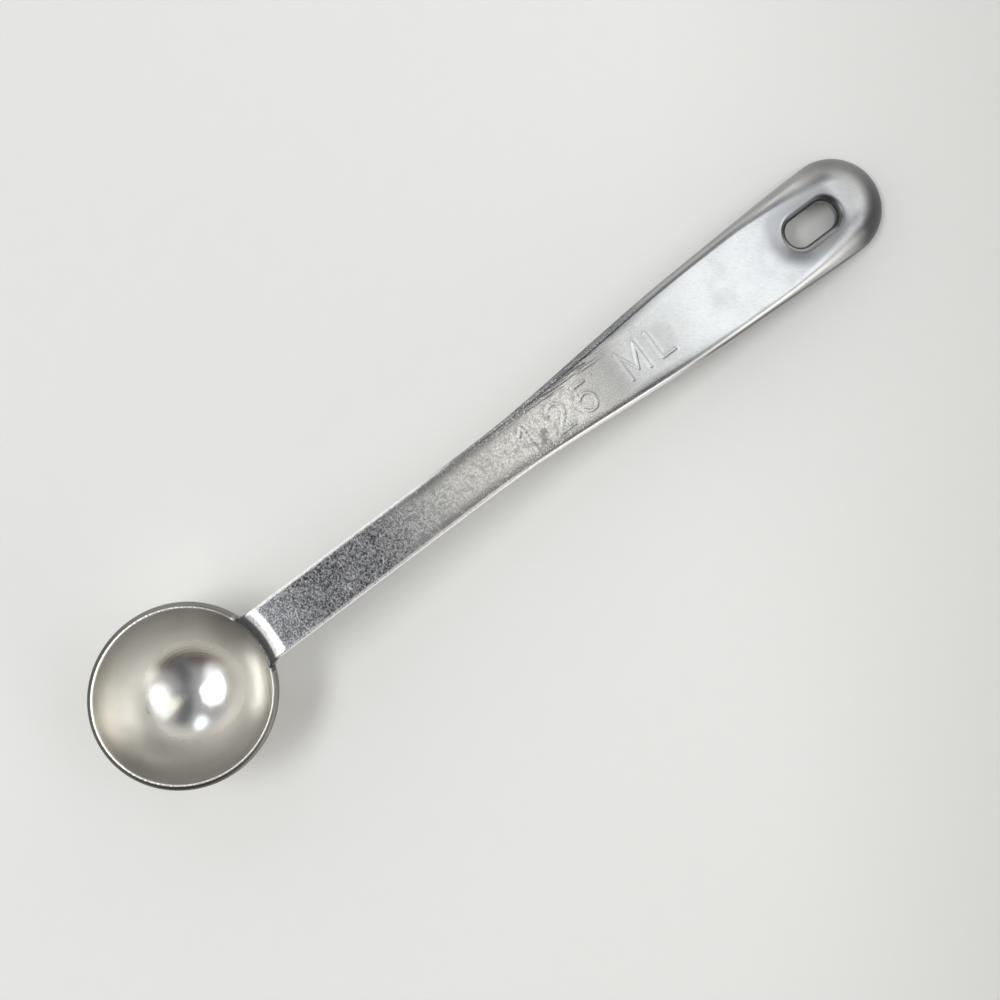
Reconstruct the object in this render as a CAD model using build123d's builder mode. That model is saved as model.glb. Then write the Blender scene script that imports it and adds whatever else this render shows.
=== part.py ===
from build123d import *
import math
import os

# Quarter-teaspoon measuring spoon, pressed from one strip of stainless sheet, in millimetres.
# The shapes are drawn in the spoon's own press frame: the origin is the centre of the bowl's rim,
# +X runs along the handle and +Z out of the bowl's mouth. At the end both pieces are leaned over
# to the way the spoon lies on a table, on the bowl's floor and on the tip of the handle.

# Sheet
sheet = 0.6

# Bowl, inside sizes: a short upright wall over a deep oval floor, 1.24 ml when level full
bowl_long_radius = 8.15
bowl_cross_radius = 7.9
bowl_wall = 1.2
bowl_floor_depth = 7.35

# Root, where the strip bends out over the rim
root_bend = 1.65
root_width = 5.7
root_flare_radius = 2.2

# Handle: a narrow strip that widens into a grip with turned-down edges and a round, domed end
strip_width = 5.0
strip_edge_round = 0.25
grip_start = 34.0
grip_length = 43.25
grip_end_width = 9.9
flange_depth = 2.6
least_bend = 0.1

# Hanging slot, with its edge turned down
slot_length = 5.7
slot_width = 2.9
slot_lip_depth = 1.5
slot_edge_round = 0.7
slot_to_end_centre = 3.45

# One overrun for every cut
overrun = 1.0

# The grip's outline and edge rounding at stations along it, as shares of their whole change
station_share = (0, 0.1, 0.2, 0.37, 0.55, 0.74, 0.89, 1)
width_share = (0, 0.045, 0.17, 0.43, 0.67, 0.82, 0.94, 1)
round_share = (0, 0.06, 0.12, 0.2, 0.22, 0.28, 0.55, 1)

# Sizes that follow from the ones above
outer_long_radius = bowl_long_radius + sheet
outer_cross_radius = bowl_cross_radius + sheet
outer_floor_depth = bowl_floor_depth + sheet
handle_top = root_bend + sheet
grip_centre = grip_start + grip_length
tip = grip_centre + grip_end_width / 2
slot_centre = grip_centre - slot_to_end_centre

# The domed end rounds off from a flat that is as wide as the slot with its rounded edge
end_flat_radius = slot_width / 2 + slot_edge_round
end_dome_radius = grip_end_width / 2 - end_flat_radius

# The rim near the handle is an arc of this radius about this point of the long axis
rim_arc_radius = bowl_cross_radius**2 / bowl_long_radius
rim_arc_centre = bowl_long_radius - rim_arc_radius
bend_centre = rim_arc_centre + rim_arc_radius + sheet + root_bend

# At rest the bowl's floor and the tip of the handle touch the table together, at this lean
tip_rise = handle_top - flange_depth + bowl_wall
tip_square = tip**2 - outer_long_radius**2
rise_square = tip_rise**2 - outer_floor_depth**2
lean = math.atan((tip * tip_rise + math.sqrt((tip * tip_rise) ** 2 - tip_square * rise_square)) / tip_square)

# The root's outline narrows from the rim to the strip along an arc of this turn
root_step = (root_width - strip_width) / 2
root_turn = math.acos(1 - root_step / root_flare_radius)
root_inner = rim_arc_centre + math.sqrt(rim_arc_radius**2 - (root_width / 2) ** 2)
root_outer = root_inner + root_flare_radius * math.sin(root_turn)


def oval_form(long_radius, cross_radius, floor_depth, above):
    """A solid oval form: half an ellipsoid under an upright wall, ending at a height above the rim."""
    with BuildPart() as floor:
        Sphere(1, arc_size1=-90, arc_size2=0, align=(Align.CENTER, Align.CENTER, Align.MAX))
        scale(by=(long_radius, cross_radius, floor_depth))
    with BuildPart() as form:
        with BuildSketch(Plane.XY.offset(above)):
            Ellipse(long_radius, cross_radius)
        extrude(amount=-(above + bowl_wall))
        with Locations((0, 0, -bowl_wall)):
            add(floor.part)
    return form.part


def loaf_outline(half_width, top, corner):
    """The outline across the handle of a solid block under it, rounded at its two top edges."""
    low = handle_top - flange_depth - overrun
    with BuildSketch() as outline:
        with BuildLine():
            Line((0, low), (half_width, low))
            Line((half_width, low), (half_width, top - corner))
            CenterArc((half_width - corner, top - corner), corner, 0, 90)
            Line((half_width - corner, top), (0, top))
            mirror(about=Plane.YZ)
        make_face()
    return outline.sketch


def grip_form(inset):
    """The solid block of the grip with its round end, shrunk by an inset on its top, sides and end."""
    top = handle_top - inset
    narrow = strip_width / 2 - inset
    wide = grip_end_width / 2 - inset
    tall = 2 * (flange_depth + overrun + handle_top)
    with BuildPart() as block:
        for along, wider, rounder in zip(station_share, width_share, round_share):
            bend = strip_edge_round + (end_dome_radius - strip_edge_round) * rounder
            corner = max(bend - inset, least_bend)
            with BuildSketch(Plane.YZ.offset(grip_start + grip_length * along)):
                add(loaf_outline(narrow + (wide - narrow) * wider, top, corner))
        loft()
    with BuildPart() as end:
        with BuildSketch(Plane.XZ):
            add(loaf_outline(wide, top, end_dome_radius - inset))
            Rectangle(wide, tall, align=(Align.MIN, Align.CENTER), mode=Mode.INTERSECT)
        revolve(axis=Axis.Z)
    with BuildPart() as form:
        add(block.part)
        with Locations((grip_centre, 0, 0)):
            add(end.part)
    return form.part


# Bowl
with BuildPart() as pressed_bowl:
    add(oval_form(outer_long_radius, outer_cross_radius, outer_floor_depth, 0))
    add(oval_form(bowl_long_radius, bowl_cross_radius, bowl_floor_depth, overrun), mode=Mode.SUBTRACT)

# Root of the handle: the sheet rises from the rim and bends outwards, following the rim's curve
with BuildPart() as root:
    with BuildSketch(Plane.XZ):
        with BuildLine():
            CenterArc((bend_centre, 0), root_bend, 90, 90)
            Line((bend_centre - root_bend, 0), (bend_centre - handle_top, 0))
            CenterArc((bend_centre, 0), handle_top, 90, 90)
            Line((bend_centre, handle_top), (bend_centre, root_bend))
        make_face()
    revolve(axis=Axis((rim_arc_centre, 0, 0), (0, 0, 1)))
    with BuildSketch():
        with BuildLine():
            Line((rim_arc_centre, 0), (rim_arc_centre, root_width / 2))
            Line((rim_arc_centre, root_width / 2), (root_inner, root_width / 2))
            flare_centre = (root_outer, strip_width / 2 + root_flare_radius)
            CenterArc(flare_centre, root_flare_radius, -90, -math.degrees(root_turn))
            Line((root_outer, strip_width / 2), (bend_centre, strip_width / 2))
            Line((bend_centre, strip_width / 2), (bend_centre, 0))
            mirror(about=Plane.XZ)
        make_face()
    extrude(amount=handle_top + overrun, mode=Mode.INTERSECT)

# Side view of the handle's sheet: flat along the strip, then deeper and deeper down the turned edges
with BuildPart() as side_view:
    with BuildSketch(Plane.XZ):
        with BuildLine():
            Polyline(
                (rim_arc_centre, handle_top + overrun),
                (rim_arc_centre, root_bend),
                (grip_start, root_bend),
                (tip, handle_top - flange_depth),
                (tip + overrun, handle_top - flange_depth),
                (tip + overrun, handle_top + overrun),
                close=True,
            )
        make_face()
    extrude(amount=grip_end_width, both=True)

# Turned-down lip round the hanging slot
with BuildPart() as slot_lip:
    with BuildSketch(Plane.XY.offset(handle_top - slot_lip_depth)):
        with Locations((slot_centre, 0)):
            SlotOverall(slot_length + 2 * sheet, slot_width + 2 * sheet)
    extrude(amount=slot_lip_depth - sheet / 2)

# Handle: strip and grip with their underside hollow, the root, and the slot cut through its lip
with BuildPart() as pressed_handle:
    with BuildSketch(Plane.YZ.offset(rim_arc_centre)):
        add(loaf_outline(strip_width / 2, handle_top, strip_edge_round))
    extrude(amount=grip_start - rim_arc_centre)
    add(grip_form(0))
    add(side_view.part, mode=Mode.INTERSECT)
    add(grip_form(sheet), mode=Mode.SUBTRACT)
    with Locations((rim_arc_centre, 0, 0)):
        Cylinder(bend_centre - rim_arc_centre, 2 * (handle_top + overrun), mode=Mode.SUBTRACT)
    add(root.part)
    add(slot_lip.part)
    with BuildSketch(Plane.XY.offset(handle_top - flange_depth)):
        with Locations((slot_centre, 0)):
            SlotOverall(slot_length, slot_width)
    extrude(amount=flange_depth + overrun, mode=Mode.SUBTRACT)
    slot_rim = pressed_handle.edges(Select.LAST).group_by(Axis.Z)[-1]
    fillet(slot_rim, slot_edge_round)

# Lean both pieces over to rest, and put the origin under the middle of the spoon, on the table
leaned = Location((0, 0, 0), (0, math.degrees(lean), 0))
bowl_box = pressed_bowl.part.moved(leaned).bounding_box()
handle_box = pressed_handle.part.moved(leaned).bounding_box()
middle = (bowl_box.min.X + handle_box.max.X) / 2
resting = Location((-middle, 0, -bowl_box.min.Z), (0, math.degrees(lean), 0))

with BuildPart() as bowl:
    with Locations(resting):
        add(pressed_bowl.part)

with BuildPart() as handle:
    with Locations(resting):
        add(pressed_handle.part)

bowl.part.label = "bowl"
handle.part.label = "handle"
os.makedirs("parts", exist_ok=True)
export_step(bowl.part, "parts/bowl.step")
export_step(handle.part, "parts/handle.step")
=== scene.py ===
import math

import bmesh
import bpy
import numpy as np
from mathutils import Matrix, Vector


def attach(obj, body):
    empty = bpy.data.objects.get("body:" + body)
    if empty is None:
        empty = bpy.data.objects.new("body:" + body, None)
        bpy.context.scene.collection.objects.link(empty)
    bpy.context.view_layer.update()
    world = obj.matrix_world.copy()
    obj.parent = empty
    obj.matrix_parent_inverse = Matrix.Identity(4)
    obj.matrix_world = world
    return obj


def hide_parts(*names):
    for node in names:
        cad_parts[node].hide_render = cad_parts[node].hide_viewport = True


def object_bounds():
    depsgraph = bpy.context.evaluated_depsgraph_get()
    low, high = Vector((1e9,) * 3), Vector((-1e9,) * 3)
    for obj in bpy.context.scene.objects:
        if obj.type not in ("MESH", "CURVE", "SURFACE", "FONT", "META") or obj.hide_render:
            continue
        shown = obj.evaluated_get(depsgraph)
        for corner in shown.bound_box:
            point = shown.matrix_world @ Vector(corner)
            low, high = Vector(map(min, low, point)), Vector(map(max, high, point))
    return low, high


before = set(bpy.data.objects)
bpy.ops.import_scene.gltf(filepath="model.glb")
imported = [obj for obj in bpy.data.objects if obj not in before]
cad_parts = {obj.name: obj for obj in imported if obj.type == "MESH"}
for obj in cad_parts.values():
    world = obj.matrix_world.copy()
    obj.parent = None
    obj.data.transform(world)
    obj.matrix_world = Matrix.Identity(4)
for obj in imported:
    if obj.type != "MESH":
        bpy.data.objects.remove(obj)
cad_low, cad_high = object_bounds()

# Sizes are in millimetres in the spoon's press frame, as in the CAD source: the origin is the centre of the
# bowl's rim, +X runs along the handle and +Z out of the bowl's mouth. to_row leans them over to rest
MM = 0.001
SHEET = 0.6

# Bowl
BOWL_LONG = 8.15
BOWL_CROSS = 7.9
BOWL_WALL = 1.2
BOWL_DEPTH = 7.35
RIM_INNER_ROUND = 0.07
RIM_OUTER_ROUND = 0.5
RIM_MARK_DEPTH = 0.035
# The file marks: waves to one turn with their weights and the share of a weight each has at least, the seeds
# of the rim's two edges, and the turn in radians over which the marks start beside the root
RIM_WAVES = ((7, 0.8), (17, 0.6), (31, 0.5), (53, 0.5), (89, 0.6), (127, 0.8), (173, 0.8))
RIM_LEAST_SHARE = 0.5
RIM_SEEDS = (7, 11)
RIM_MARK_START = 0.05

# Handle
STRIP_WIDTH = 5.0
STRIP_ROUND = 0.25
GRIP_START = 34.0
GRIP_LENGTH = 43.25
GRIP_WIDTH = 9.9
FLANGE_DEPTH = 2.6
GRIP_CENTRE = GRIP_START + GRIP_LENGTH
TIP = GRIP_CENTRE + GRIP_WIDTH / 2
# The turned edge: its corners' rounding, the share of its height that this may take, and its least inner bend
EDGE_ROUND = 0.09
EDGE_ROUND_SHARE = 0.4
LEAST_BEND = 0.1
# The turned edge's least reach below the sheet, and how far the shells stay inside the CAD solids
LEAST = 0.02
INSIDE = 0.01

# Root of the handle
ROOT_BEND = 1.65
ROOT_WIDTH = 5.7
ROOT_FLARE = 2.2
TOP = ROOT_BEND + SHEET
# How far out from the strip's side each row reads the root's outline, and the run that straightens the rows
ROOT_SIDE_GAP = 0.2
ROOT_SIDE = STRIP_WIDTH / 2 + ROOT_SIDE_GAP
SAG_RUN = 5

# Hanging slot
SLOT_HALF_WIDTH = 1.45
SLOT_HALF_RUN = 1.4
SLOT_LIP = 1.5
SLOT_ROUND = 0.7
SLOT_TO_END_CENTRE = 3.45
SLOT_CENTRE = GRIP_CENTRE - SLOT_TO_END_CENTRE
DISH_DEPTH = 0.13
DISH_REACH = 2.9

# The stamped mark: its letters' height, where it starts, how far it lies off the middle, its strokes, the
# burr beside them, the margin of close rows at both ends, and the steps of its bows
MARK_HEIGHT = 2.75
MARK_START = 38.6
MARK_OFFSET = -0.3
MARK_DEPTH = 0.022
MARK_HALF_WIDTH = 0.13
MARK_SLOPE = 0.16
BURR_HEIGHT = 0.008
BURR_WIDTH = 0.08
MARK_MARGIN = 1
BOW_STEPS = 14

# The face's faint waviness: its height, its turns along, across and in drift as radians to a millimetre,
# the drift in radians, and where and over what run it starts
WAVE_HEIGHT = 0.006
WAVE_ALONG = 0.9
WAVE_ACROSS = 0.7
WAVE_DRIFT = 0.31
WAVE_BEND = 1.3
WAVE_START = 13
WAVE_FADE = 4

# The end's face droops towards the tip from just beyond the slot, less and less down to the turned edge's foot
END_DROOP = 0.42
END_DROOP_GAP = 0.6
END_DROOP_START = SLOT_CENTRE + SLOT_HALF_RUN + SLOT_HALF_WIDTH + END_DROOP_GAP
END_DROOP_RUN = 3.8
END_DROOP_FOOT = 0.2
END_DROOP_FADE = FLANGE_DEPTH - END_DROOP_FOOT

# The end: where the rings round its slot start, its flat's half width and its dome's radius
RING_START = 64.0
END_FLAT = 2.15
END_DOME = GRIP_WIDTH / 2 - END_FLAT

# The grip's outline and edge rounding at stations along it, as shares of their whole change
STATION_SHARE = (0, 0.1, 0.2, 0.37, 0.55, 0.74, 0.89, 1)
WIDTH_SHARE = (0, 0.045, 0.17, 0.43, 0.67, 0.82, 0.94, 1)
ROUND_SHARE = (0, 0.06, 0.12, 0.2, 0.22, 0.28, 0.55, 1)

# The arc that the rim follows under the root
ARC_RADIUS = BOWL_CROSS**2 / BOWL_LONG
ARC_CENTRE = BOWL_LONG - ARC_RADIUS
BEND_REACH = ARC_RADIUS + SHEET + ROOT_BEND

# Columns, rings and rows of the handle's mesh
TOP_COLUMNS = 151
BEND_STEPS = 10
WALL_STEPS = 6
EDGE_STEPS = 3
FLAT_RINGS = 14
SLOT_ROUND_STEPS = 9
SLOT_WALL_STEPS = 4
ROOT_ROWS = 28
STRIP_ROWS = 70
MARK_ROWS = 480
GRIP_ROWS = 26
SIDE_SPOKES = 45
END_SPOKES = 97

# Columns and rings of the bowl's mesh
BOWL_COLUMNS = 720
BOWL_FLOOR_STEPS = 60
BOWL_WALL_STEPS = 8
RIM_INNER_STEPS = 4
RIM_FLAT_STEPS = 4
RIM_OUTER_STEPS = 9

# Meshes: how close points are welded, how small edges are dissolved and how sharp an edge stays sharp
WELD = 1e-3
DISSOLVE = 1e-4
SHARP_DEGREES = 50

# The spoon's lean at rest, and where that puts the press frame
OUTER_LONG = BOWL_LONG + SHEET
OUTER_DEPTH = BOWL_DEPTH + SHEET
TIP_RISE = TOP - FLANGE_DEPTH + BOWL_WALL
TIP_SQUARE = TIP**2 - OUTER_LONG**2
RISE_SQUARE = TIP_RISE**2 - OUTER_DEPTH**2
TIP_PRODUCT = TIP * TIP_RISE
LEAN = math.atan((TIP_PRODUCT + math.sqrt(TIP_PRODUCT**2 - TIP_SQUARE * RISE_SQUARE)) / TIP_SQUARE)
RISE_SHARE, RUN_SHARE = math.sin(LEAN), math.cos(LEAN)
BOWL_DROP = BOWL_WALL * RUN_SHARE + math.hypot(OUTER_LONG * RISE_SHARE, OUTER_DEPTH * RUN_SHARE)
BOWL_BACK = BOWL_WALL * RISE_SHARE + math.hypot(OUTER_LONG * RUN_SHARE, OUTER_DEPTH * RISE_SHARE)


def to_row(points):
    """Press frame millimetres to the row's frame in metres."""
    points = np.asarray(points, float)
    x, y, z = points[..., 0], points[..., 1], points[..., 2]
    along = x * RUN_SHARE + z * RISE_SHARE + BOWL_BACK
    up = z * RUN_SHARE - x * RISE_SHARE + BOWL_DROP
    return np.stack([along * MM + cad_low.x, y * MM, up * MM + cad_low.z], axis=-1)


def smooth_step(value):
    value = np.clip(value, 0, 1)
    return value * value * (3 - 2 * value)


def through(stations, values, at):
    """A smooth curve through given values, with slopes that never overshoot them."""
    stations, values = np.asarray(stations, float), np.asarray(values, float)
    steps = np.diff(stations)
    rises = np.diff(values) / steps
    slopes = np.zeros_like(values)
    before, after = rises[:-1], rises[1:]
    same = before * after > 0
    weight_1, weight_2 = 2 * steps[1:] + steps[:-1], steps[1:] + 2 * steps[:-1]
    before, after = np.where(same, before, 1), np.where(same, after, 1)
    mean = (weight_1 + weight_2) / (weight_1 / before + weight_2 / after)
    slopes[1:-1] = np.where(same, mean, 0)
    slopes[0], slopes[-1] = rises[0], rises[-1]
    at = np.clip(at, stations[0], stations[-1])
    index = np.clip(np.searchsorted(stations, at, side="right") - 1, 0, len(steps) - 1)
    run = steps[index]
    part = (at - stations[index]) / run
    return (
        values[index] * (1 + 2 * part) * (1 - part) ** 2
        + slopes[index] * run * part * (1 - part) ** 2
        + values[index + 1] * part**2 * (3 - 2 * part)
        + slopes[index + 1] * run * part**2 * (part - 1)
    )


def grip_half_width(x):
    share = (x - GRIP_START) / GRIP_LENGTH
    narrow = STRIP_WIDTH / 2
    return narrow + (GRIP_WIDTH / 2 - narrow) * through(STATION_SHARE, WIDTH_SHARE, share) - INSIDE


def grip_round(x):
    share = (x - GRIP_START) / GRIP_LENGTH
    return STRIP_ROUND + (END_DOME - STRIP_ROUND) * through(STATION_SHARE, ROUND_SHARE, share)


def flange_low(x):
    """The height where the turned edge ends, counted from the handle's top face."""
    share = np.clip((x - GRIP_START) / (TIP - GRIP_START), 0, 1)
    return -(SHEET + LEAST) - (FLANGE_DEPTH - SHEET - LEAST) * share


def arc(centre, radius, start, end, steps):
    """Points of an arc in the section's plane, angles in degrees from +Y towards up."""
    angles = np.radians(np.linspace(start, end, steps + 1))
    return [(centre[0] + radius * math.cos(a), centre[1] + radius * math.sin(a)) for a in angles]


def turned_edge(half_width, bend, low):
    """The section of one turned edge, from the top face's bend line round to the underside's."""
    out = min(EDGE_ROUND, (-SHEET - low) * EDGE_ROUND_SHARE)
    foot = low + out
    steep = math.degrees(math.asin(min(max((foot + bend) / bend, 0), 1)))
    points = arc((half_width - bend, -bend), bend, 90, steep, BEND_STEPS)
    side, start = points[-1]
    points += [(side, z) for z in np.linspace(start, foot, WALL_STEPS + 1)[1:]]
    points += arc((side - out, foot), out, 0, -90, EDGE_STEPS)[1:]
    inner_bend = max(bend - SHEET, LEAST_BEND)
    centre = (half_width - SHEET - inner_bend, -SHEET - inner_bend)
    steep = math.degrees(math.asin(min(max((foot - centre[1]) / inner_bend, 0), 1)))
    bend_points = arc(centre, inner_bend, steep, 90, BEND_STEPS)
    side, end = bend_points[0]
    points += arc((side + out, foot), out, -90, -180, EDGE_STEPS)
    points += [(side, z) for z in np.linspace(foot, end, WALL_STEPS + 1)[1:]]
    points += bend_points[1:]
    return np.array(points)


def edge_at(x, beyond=0.0):
    """The turned edge's section at a station, as low as the edge is some way beyond it."""
    return turned_edge(float(grip_half_width(x)), float(grip_round(x)), float(flange_low(x + beyond)))


def bow(centre, radii, start, end):
    """Points of an oval arc of the mark, angles in degrees."""
    angles = np.radians(np.linspace(start, end, BOW_STEPS + 1))
    return [(centre[0] + radii[0] * math.cos(a), centre[1] + radii[1] * math.sin(a)) for a in angles]


def glyph_strokes():
    """The strokes of a plain volume mark, 1.25 ML, and its length, in letter heights from its lower left."""
    one = [[(0.05, 0.78), (0.28, 1.0), (0.28, 0.0)]]
    dot = [[(0.06, 0.0), (0.06, 0.05)]]
    two = [bow((0.32, 0.7), (0.3, 0.3), 170, -38) + [(0.02, 0.0), (0.64, 0.0)]]
    five = [[(0.58, 1.0), (0.14, 1.0), (0.08, 0.55)] + bow((0.3, 0.32), (0.3, 0.32), 135, -150)]
    letter_m = [[(0.0, 0.0), (0.0, 1.0), (0.38, 0.2), (0.76, 1.0), (0.76, 0.0)]]
    letter_l = [[(0.0, 1.0), (0.0, 0.0), (0.52, 0.0)]]
    placed = []
    at = 0.0
    letters = ((one, 0.72), (dot, 0.5), (two, 1.14), (five, 2.0), (letter_m, 1.3), (letter_l, 0.52))
    for strokes, advance in letters:
        placed += [[(x + at, y) for x, y in stroke] for stroke in strokes]
        at += advance
    return placed, at


def mark_depth(x, y):
    """How deep the stamped mark is at points of the handle's top face."""
    nearest = np.full(np.shape(x), np.inf)
    corner = np.array((MARK_START, MARK_OFFSET - MARK_HEIGHT / 2))
    for stroke in glyph_strokes()[0]:
        line = corner + np.array(stroke) * MARK_HEIGHT
        for a, b in zip(line[:-1], line[1:]):
            run = b - a
            part = np.clip(((x - a[0]) * run[0] + (y - a[1]) * run[1]) / (run @ run), 0, 1)
            nearest = np.minimum(nearest, np.hypot(x - a[0] - part * run[0], y - a[1] - part * run[1]))
    groove = smooth_step((MARK_HALF_WIDTH + MARK_SLOPE / 2 - nearest) / MARK_SLOPE)
    burr = np.exp(-(((nearest - MARK_HALF_WIDTH - MARK_SLOPE) / BURR_WIDTH) ** 2))
    return MARK_DEPTH * groove - BURR_HEIGHT * burr


def top_relief(x, y):
    """The small heights and hollows of the top face: the dish round the slot and a faint waviness."""
    along = np.clip(x, SLOT_CENTRE - SLOT_HALF_RUN, SLOT_CENTRE + SLOT_HALF_RUN)
    from_slot = np.hypot(x - along, y) - SLOT_HALF_WIDTH
    dish = DISH_DEPTH * smooth_step(1 - from_slot / DISH_REACH) ** 2
    wave = WAVE_HEIGHT * np.sin(x * WAVE_ALONG + WAVE_BEND * np.sin(x * WAVE_DRIFT)) * np.cos(y * WAVE_ACROSS)
    fade = smooth_step((x - WAVE_START) / WAVE_FADE)
    return -dish + wave * fade


def face_height(x, y, depth):
    """Depths below the top face to heights, with the face's relief, which fades down the turned edges."""
    fade = np.clip(1 + depth / SLOT_LIP, 0, 1)
    return TOP + depth + top_relief(x, y) * fade


class SpoonMesh:
    """Collects grids of points in the press frame, and welds them into one object."""

    def __init__(self, name):
        self.name = name
        self.points = []
        self.faces = []

    def grid(self, grid, close_rows=False):
        """Adds quads between neighbouring rows and columns. close_rows joins each row's end to its start."""
        grid = np.asarray(grid, float)
        rows, columns = grid.shape[:2]
        start = len(self.points)
        self.points += grid.reshape(-1, 3).tolist()
        last = columns if close_rows else columns - 1
        for i in range(rows - 1):
            for j in range(last):
                k = (j + 1) % columns
                a, b = start + i * columns, start + (i + 1) * columns
                self.faces.append((a + j, a + k, b + k, b + j))

    def cap(self, loop):
        """Closes one end with a single face."""
        start = len(self.points)
        self.points += loop.tolist()
        self.faces.append(tuple(range(start, start + len(loop))))

    def build(self):
        """Makes the object, and prints how many of its edges are open."""
        mesh = bpy.data.meshes.new(self.name)
        mesh.from_pydata(to_row(self.points).tolist(), [], self.faces)
        work = bmesh.new()
        work.from_mesh(mesh)
        bmesh.ops.remove_doubles(work, verts=work.verts, dist=WELD * MM)
        bmesh.ops.dissolve_degenerate(work, edges=work.edges, dist=DISSOLVE * MM)
        bmesh.ops.recalc_face_normals(work, faces=work.faces)
        open_edges = sum(1 for edge in work.edges if len(edge.link_faces) != 2)
        print(self.name, "points", len(work.verts), "open edges", open_edges)
        work.to_mesh(mesh)
        work.free()
        mesh.shade_smooth()
        mesh.set_sharp_from_angle(angle=math.radians(SHARP_DEGREES))
        piece = bpy.data.objects.new(self.name, mesh)
        bpy.context.scene.collection.objects.link(piece)
        return piece


def section_loop(right):
    """The closed section across the handle as (y, depth) points, the top face first, from its right edge."""
    top = np.linspace(-right[0][0], right[0][0], TOP_COLUMNS)
    under = np.linspace(right[-1][0], -right[-1][0], TOP_COLUMNS)
    left = right[::-1] * (-1, 1)
    loop = [(y, 0.0) for y in top] + list(right[1:])
    loop += [(y, -SHEET) for y in under[1:]] + list(left[1:-1])
    return np.array(loop)


def root_half_width(x):
    """The handle's half width where the root narrows to the strip."""
    step = (ROOT_WIDTH - STRIP_WIDTH) / 2
    inner = ARC_CENTRE + math.sqrt(ARC_RADIUS**2 - (ROOT_WIDTH / 2) ** 2)
    run = ROOT_FLARE * math.sin(math.acos(1 - step / ROOT_FLARE))
    left = np.clip(inner + run - x, 0, run)
    return STRIP_WIDTH / 2 + ROOT_FLARE - math.sqrt(ROOT_FLARE**2 - left**2)


def handle_stations():
    """Stations along the flat handle: close together where the mark is stamped, wider elsewhere."""
    close_start = MARK_START - MARK_MARGIN
    close_end = MARK_START + glyph_strokes()[1] * MARK_HEIGHT + MARK_MARGIN
    return np.concatenate(
        [
            np.linspace(ARC_CENTRE + BEND_REACH, close_start, STRIP_ROWS, endpoint=False),
            np.linspace(close_start, close_end, MARK_ROWS, endpoint=False),
            np.linspace(close_end, RING_START, GRIP_ROWS),
        ]
    )


def handle_body(mesh):
    """The root's bend, the strip and the grip as far as the rings round the slot."""
    rows = []
    for turn in np.linspace(0, math.pi / 2, ROOT_ROWS, endpoint=False):
        reach = BEND_REACH - TOP * math.cos(turn)
        side = ARC_CENTRE + math.sqrt(reach**2 - ROOT_SIDE**2)
        loop = section_loop(turned_edge(root_half_width(side), STRIP_ROUND, -(SHEET + LEAST)))
        y, depth = loop[:, 0], loop[:, 1]
        radius = TOP + np.maximum(depth, -SHEET)
        out = BEND_REACH - radius * math.cos(turn)
        rows.append(np.stack([ARC_CENTRE + np.sqrt(out**2 - y**2), y, radius * math.sin(turn)], axis=1))
    first_flat = ARC_CENTRE + BEND_REACH
    for x in handle_stations():
        loop = section_loop(edge_at(x))
        y, depth = loop[:, 0], loop[:, 1]
        sag = BEND_REACH - np.sqrt(BEND_REACH**2 - y**2)
        at_x = x - sag * (1 - smooth_step((x - first_flat) / SAG_RUN))
        z = face_height(at_x, y, depth) - np.where(depth > -LEAST, mark_depth(at_x, y), 0)
        rows.append(np.stack([at_x, y, z], axis=1))
    mesh.grid(rows, close_rows=True)
    mesh.cap(rows[0])


def lip_profile():
    """The slot's turned lip as (distance from its middle, depth), from the top face to the underside."""
    foot = -SLOT_LIP + EDGE_ROUND
    profile = arc((SLOT_HALF_WIDTH + SLOT_ROUND, -SLOT_ROUND), SLOT_ROUND, 90, 180, SLOT_ROUND_STEPS)[1:]
    profile += [(SLOT_HALF_WIDTH, z) for z in np.linspace(-SLOT_ROUND, foot, SLOT_WALL_STEPS + 1)[1:]]
    profile += arc((SLOT_HALF_WIDTH + EDGE_ROUND, foot), EDGE_ROUND, 180, 270, EDGE_STEPS)[1:]
    back = SLOT_HALF_WIDTH + SHEET
    profile += arc((back - EDGE_ROUND, foot), EDGE_ROUND, 270, 360, EDGE_STEPS)
    small = SLOT_ROUND - SHEET
    profile += [(back, z) for z in np.linspace(foot, -SHEET - small, SLOT_WALL_STEPS + 1)[1:]]
    return profile + arc((back + small, -SHEET - small), small, 180, 90, SLOT_WALL_STEPS)[1:]


def slot_side(start, under):
    """One spoke from a point of the top's bend line over the slot's lip to the point under it."""
    start, under = np.array(start), np.array(under)
    near = np.array([min(max(start[0], SLOT_CENTRE - SLOT_HALF_RUN), SLOT_CENTRE + SLOT_HALF_RUN), 0.0])
    toward = (start - near) / np.linalg.norm(start - near)
    profile = lip_profile()
    rim, inner_rim = near + toward * (SLOT_HALF_WIDTH + SLOT_ROUND), near + toward * profile[-1][0]
    parts = np.linspace(0, 1, FLAT_RINGS + 1)
    points = [(*(start * (1 - part) + rim * part), 0.0) for part in parts]
    points += [(*(near + toward * reach), z) for reach, z in profile]
    points += [(*(inner_rim * (1 - part) + under * part), -SHEET) for part in parts[1:]]
    return points


def lift(points):
    """Raises the end's points to the face, which droops towards the tip."""
    points = np.array(points)
    x, y, depth = points[..., 0], points[..., 1], points[..., 2]
    droop = END_DROOP * smooth_step((x - END_DROOP_START) / END_DROOP_RUN)
    points[..., 2] = face_height(x, y, depth) - droop * np.clip(1 + depth / END_DROOP_FADE, 0, 1)
    return points


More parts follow.
